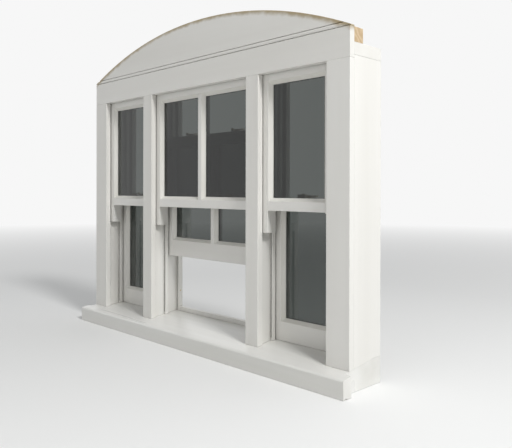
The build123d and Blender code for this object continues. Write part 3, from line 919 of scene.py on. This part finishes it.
head_low = high("jamb_left").z
staff_front = staff_high.y - STAFF_DEEP
BRUSHES = {
    "lining_brushes": (lining_back, INWARD, LINING_PILE),
    "parting_brushes_outer": (low("parting_beads").y, OUTWARD, PARTING_PILE),
    "parting_brushes_inner": (high("parting_beads").y, INWARD, PARTING_PILE),
    "staff_brushes": (staff_front, OUTWARD, STAFF_PILE),
}
for seed, (name, (carrier_y, facing, inset)) in enumerate(BRUSHES.items()):
    points, lines = [], []
    for light in LIGHTS:
        rods = f"lower_{light}_balance_rods"
        for x in (low(rods).x - SIDE_GAP + inset, high(rods).x + SIDE_GAP - inset):
            lines.append((len(points), len(points) + 1))
            points += [(x, carrier_y, staff_low.z + PILE_CLEAR), (x, carrier_y, head_low - PILE_CLEAR)]
    brush = grown(name, piles, points, "frame", None, lines, Facing=facing, Seed=seed, Finish=pile_finish)
    print(name, "faces:", len(brush.data.polygons))

# %% [markdown]
# ## Floor, light and camera
#
# The window stands on a plain pale floor that fades into a white surround. The light is soft and comes from
# high on the right, only a little in front of the window's face. It grazes the face, while the sill and every
# face that turns right are bright, as in the picture. The surround looks even, but it lights the window a
# little more from the right, from above and from the room side, which keeps neighbouring faces apart. The
# camera is the one that was solved from the picture's straight lines: where it stands, where it looks, its
# lens and its vertical shift.

# %% The floor
FLOOR_HALF = 30.0
FLOOR_DROP = 0.0005
FADE_START = 2.0
FADE_END = 9.0
SURROUND = (0.93, 0.93, 0.93, 1)


def seen_directly(tree):
    """1 for the rays that show the background: from the camera, through glass and off a gloss."""
    rays = add_node(tree, "ShaderNodeLightPath").outputs
    seen = calculate(tree, "MAXIMUM", rays["Is Camera Ray"], rays["Is Transmission Ray"])
    return calculate(tree, "MAXIMUM", seen, rays["Is Glossy Ray"])


floor_mesh = bpy.data.meshes.new("floor")
corners = [(x * FLOOR_HALF, y * FLOOR_HALF, 0) for x, y in ((-1, -1), (1, -1), (1, 1), (-1, 1))]
floor_mesh.from_pydata(corners, [], [(0, 1, 2, 3)])
floor = bpy.data.objects.new("floor", floor_mesh)
collection.objects.link(floor)
floor.location.z = -FLOOR_DROP
floor_finish, tree, shader = material("floor_finish")
shader.inputs["Base Color"].default_value = (0.82, 0.82, 0.81, 1)
shader.inputs["Roughness"].default_value = 0.9
place = add_node(tree, "ShaderNodeTexCoord").outputs["Object"]
away = add_node(tree, "ShaderNodeVectorMath", {0: place}, operation="LENGTH").outputs["Value"]
fade = spread(tree, away, 0.0, 1.0, start=FADE_START, stop=FADE_END)
faded = calculate(tree, "MULTIPLY", fade, seen_directly(tree))
white = add_node(tree, "ShaderNodeEmission", {"Color": SURROUND, "Strength": 1.0}).outputs[0]
blend = add_node(tree, "ShaderNodeMixShader", {0: faded, 1: shader.outputs[0], 2: white})
tree.links.new(blend.outputs[0], tree.nodes["Material Output"].inputs["Surface"])
floor_mesh.materials.append(floor_finish)
print("floor side", 2 * FLOOR_HALF)

# %% The surround
world = bpy.data.worlds.new("surround")
bpy.context.scene.world = world
world.use_nodes = True
tree = world.node_tree
ground = tree.nodes["Background"]
ground.inputs["Color"].default_value = SURROUND
ground.inputs["Strength"].default_value = 1.0
looking = add_node(tree, "ShaderNodeTexCoord").outputs["Generated"]
parts = add_node(tree, "ShaderNodeSeparateXYZ", {0: looking}).outputs
from_right = spread(tree, parts["X"], 0.33, 0.58, start=-0.6, stop=0.8)
from_above = spread(tree, parts["Z"], 0.55, 1.15, start=-0.3, stop=0.8)
from_behind = spread(tree, parts["Y"], 0.84, 1.28, start=-0.8, stop=0.8)
level = calculate(tree, "MULTIPLY", calculate(tree, "MULTIPLY", from_right, from_above), from_behind)
ambient = add_node(tree, "ShaderNodeBackground", {"Color": (0.97, 0.985, 1.0, 1), "Strength": level})
shown = {0: seen_directly(tree), 1: ambient.outputs[0], 2: ground.outputs[0]}
blend = add_node(tree, "ShaderNodeMixShader", shown)
tree.links.new(blend.outputs[0], tree.nodes["World Output"].inputs["Surface"])
print("surround:", len(tree.nodes), "nodes")


# %% The lamps
def soft_lamp(name, place, aim, size, power):
    lamp = bpy.data.lights.new(name, "AREA")
    lamp.shape = "DISK"
    lamp.size = size
    lamp.energy = power
    made = bpy.data.objects.new(name, lamp)
    made.location = place
    made.rotation_mode = "QUATERNION"
    made.rotation_quaternion = (Vector(aim) - Vector(place)).to_track_quat("-Z", "Y")
    collection.objects.link(made)
    return made


LIT_MIDDLE = (0.0, 0.05, 0.6)
lamps = [
    soft_lamp("key", (4.1, -0.85, 4.3), LIT_MIDDLE, size=1.2, power=202.0),
    soft_lamp("fill", (1.5, -5.0, 2.6), LIT_MIDDLE, size=3.0, power=20.0),
]
print("lamps:", [(lamp.name, lamp.data.energy) for lamp in lamps])

# %% The camera
EYE = (1.86298, -1.48862, 0.62193)
SENSOR = 36.0
PICTURE_WIDTH = 512.0
PICTURE_MIDDLE = 224.0
LEVEL_ROW = 191.74
FOCAL_PIXELS = 603.0

yaw, pitch, roll = 0.794766, -0.00304, 0.0021
forward = Vector((-math.sin(yaw) * math.cos(pitch), math.cos(yaw) * math.cos(pitch), math.sin(pitch)))
right = Vector((math.cos(yaw), math.sin(yaw), 0.0))
up = right.cross(forward)
rolled_right = right * math.cos(roll) + up * math.sin(roll)
rolled_up = up * math.cos(roll) - right * math.sin(roll)
camera_data = bpy.data.cameras.new("camera")
camera_data.sensor_width = SENSOR
camera_data.lens = FOCAL_PIXELS / PICTURE_WIDTH * SENSOR
camera_data.shift_y = -(PICTURE_MIDDLE - LEVEL_ROW) / PICTURE_WIDTH
camera_data.clip_start = 0.05
camera_data.clip_end = 200.0
camera = bpy.data.objects.new("camera", camera_data)
collection.objects.link(camera)
turn = Matrix((rolled_right, rolled_up, -forward)).transposed()
camera.matrix_world = Matrix.Translation(EYE) @ turn.to_4x4()
bpy.context.scene.camera = camera
bpy.context.scene.view_settings.view_transform = "Standard"
print("lens", round(camera_data.lens, 2), "shift", round(camera_data.shift_y, 4))
